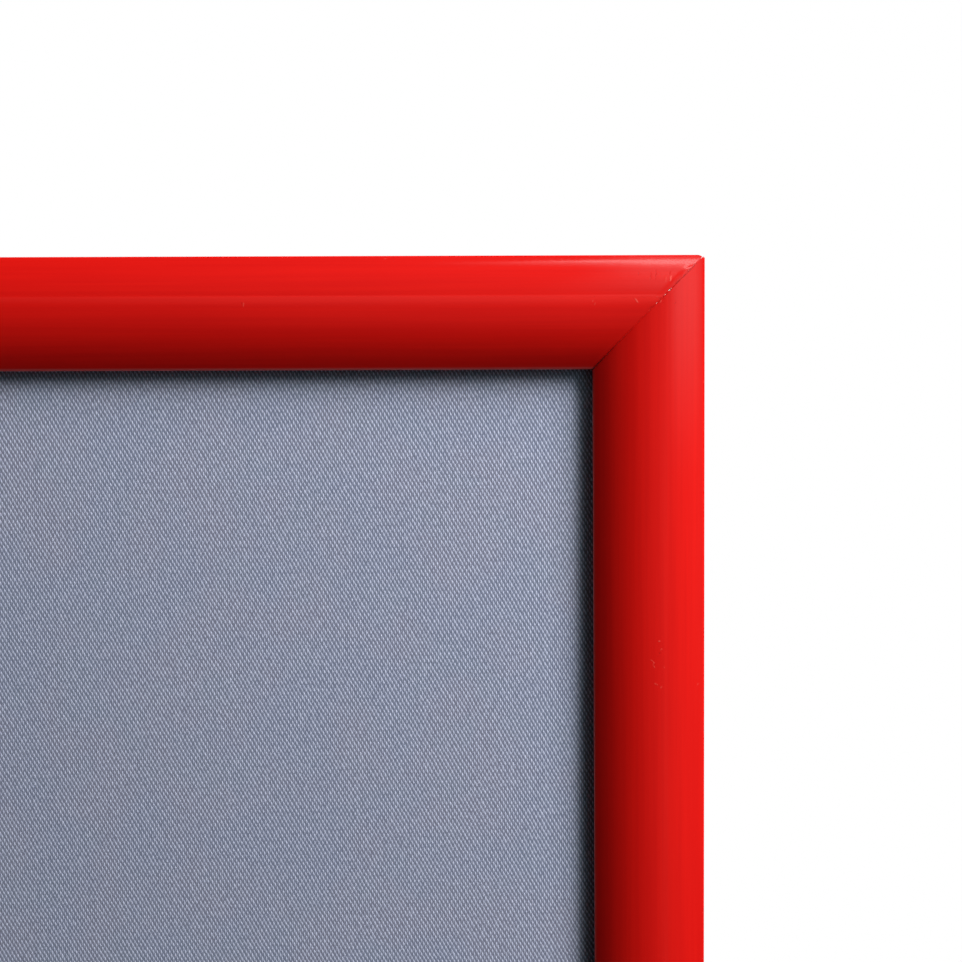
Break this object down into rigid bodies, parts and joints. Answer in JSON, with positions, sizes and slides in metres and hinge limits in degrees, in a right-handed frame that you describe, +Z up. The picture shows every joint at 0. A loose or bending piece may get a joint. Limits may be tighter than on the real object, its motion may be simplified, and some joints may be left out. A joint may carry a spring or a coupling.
{
  "type": "poster frame",
  "caption": "Portrait wall poster frame with mitred red rails that hinge open along their outer edges, a grey back panel and a clear cover sheet.",
  "frame": {"origin": "centre of the frame's back plane, where it meets the wall", "axes": "+X to the right as seen from the front, +Y into the wall, +Z up"},
  "size_m": [0.329, 0.012, 0.452],
  "materials": {
    "red_powder_coat": "smooth semi-gloss red powder coat on extruded aluminium, bare metal at the sawn mitre edges",
    "zinc_steel": "zinc-plated steel plate",
    "black_steel": "black oxide steel",
    "spring_steel": "blued spring steel strip",
    "grey_panel": "cool grey plastic sheet with a fine woven emboss",
    "clear_cover": "clear plastic sheet with a fine low-glare emboss"
  },
  "bodies": {
    "frame_base": {"base_rail_top": "red_powder_coat", "base_rail_right": "red_powder_coat", "base_rail_bottom": "red_powder_coat", "base_rail_left": "red_powder_coat", "corner_key_top_left": "zinc_steel", "corner_key_top_right": "zinc_steel", "corner_key_bottom_left": "zinc_steel", "corner_key_bottom_right": "zinc_steel", "key_screw_top_left_on_top_rail": "black_steel", "key_screw_top_left_on_left_rail": "black_steel", "key_screw_top_right_on_top_rail": "black_steel", "key_screw_top_right_on_right_rail": "black_steel", "key_screw_bottom_left_on_bottom_rail": "black_steel", "key_screw_bottom_left_on_left_rail": "black_steel", "key_screw_bottom_right_on_bottom_rail": "black_steel", "key_screw_bottom_right_on_right_rail": "black_steel", "leaf_spring_top_left": "spring_steel", "leaf_spring_top_right": "spring_steel", "leaf_spring_right_upper": "spring_steel", "leaf_spring_right_lower": "spring_steel", "leaf_spring_bottom_left": "spring_steel", "leaf_spring_bottom_right": "spring_steel", "leaf_spring_left_upper": "spring_steel", "leaf_spring_left_lower": "spring_steel", "back_panel": "grey_panel", "cover_sheet": "clear_cover"},
    "top_rail": {"front_rail_top": "red_powder_coat"},
    "right_rail": {"front_rail_right": "red_powder_coat"},
    "bottom_rail": {"front_rail_bottom": "red_powder_coat"},
    "left_rail": {"front_rail_left": "red_powder_coat"}
  },
  "joints": [
    {"name": "top_rail_hinge", "type": "hinge", "parent": "frame_base", "child": "top_rail", "pos_m": [0, -0.0045, 0.2238], "axis": [-1, 0, 0], "range_deg": [0, 100], "deforming": ["leaf_spring_top_left", "leaf_spring_top_right"]},
    {"name": "right_rail_hinge", "type": "hinge", "parent": "frame_base", "child": "right_rail", "pos_m": [0.1623, -0.0045, 0], "axis": [0, 0, 1], "range_deg": [0, 100], "deforming": ["leaf_spring_right_upper", "leaf_spring_right_lower"]},
    {"name": "bottom_rail_hinge", "type": "hinge", "parent": "frame_base", "child": "bottom_rail", "pos_m": [0, -0.0045, -0.2238], "axis": [1, 0, 0], "range_deg": [0, 100], "deforming": ["leaf_spring_bottom_left", "leaf_spring_bottom_right"]},
    {"name": "left_rail_hinge", "type": "hinge", "parent": "frame_base", "child": "left_rail", "pos_m": [-0.1623, -0.0045, 0], "axis": [0, 0, -1], "range_deg": [0, 100], "deforming": ["leaf_spring_left_upper", "leaf_spring_left_lower"]}
  ]
}
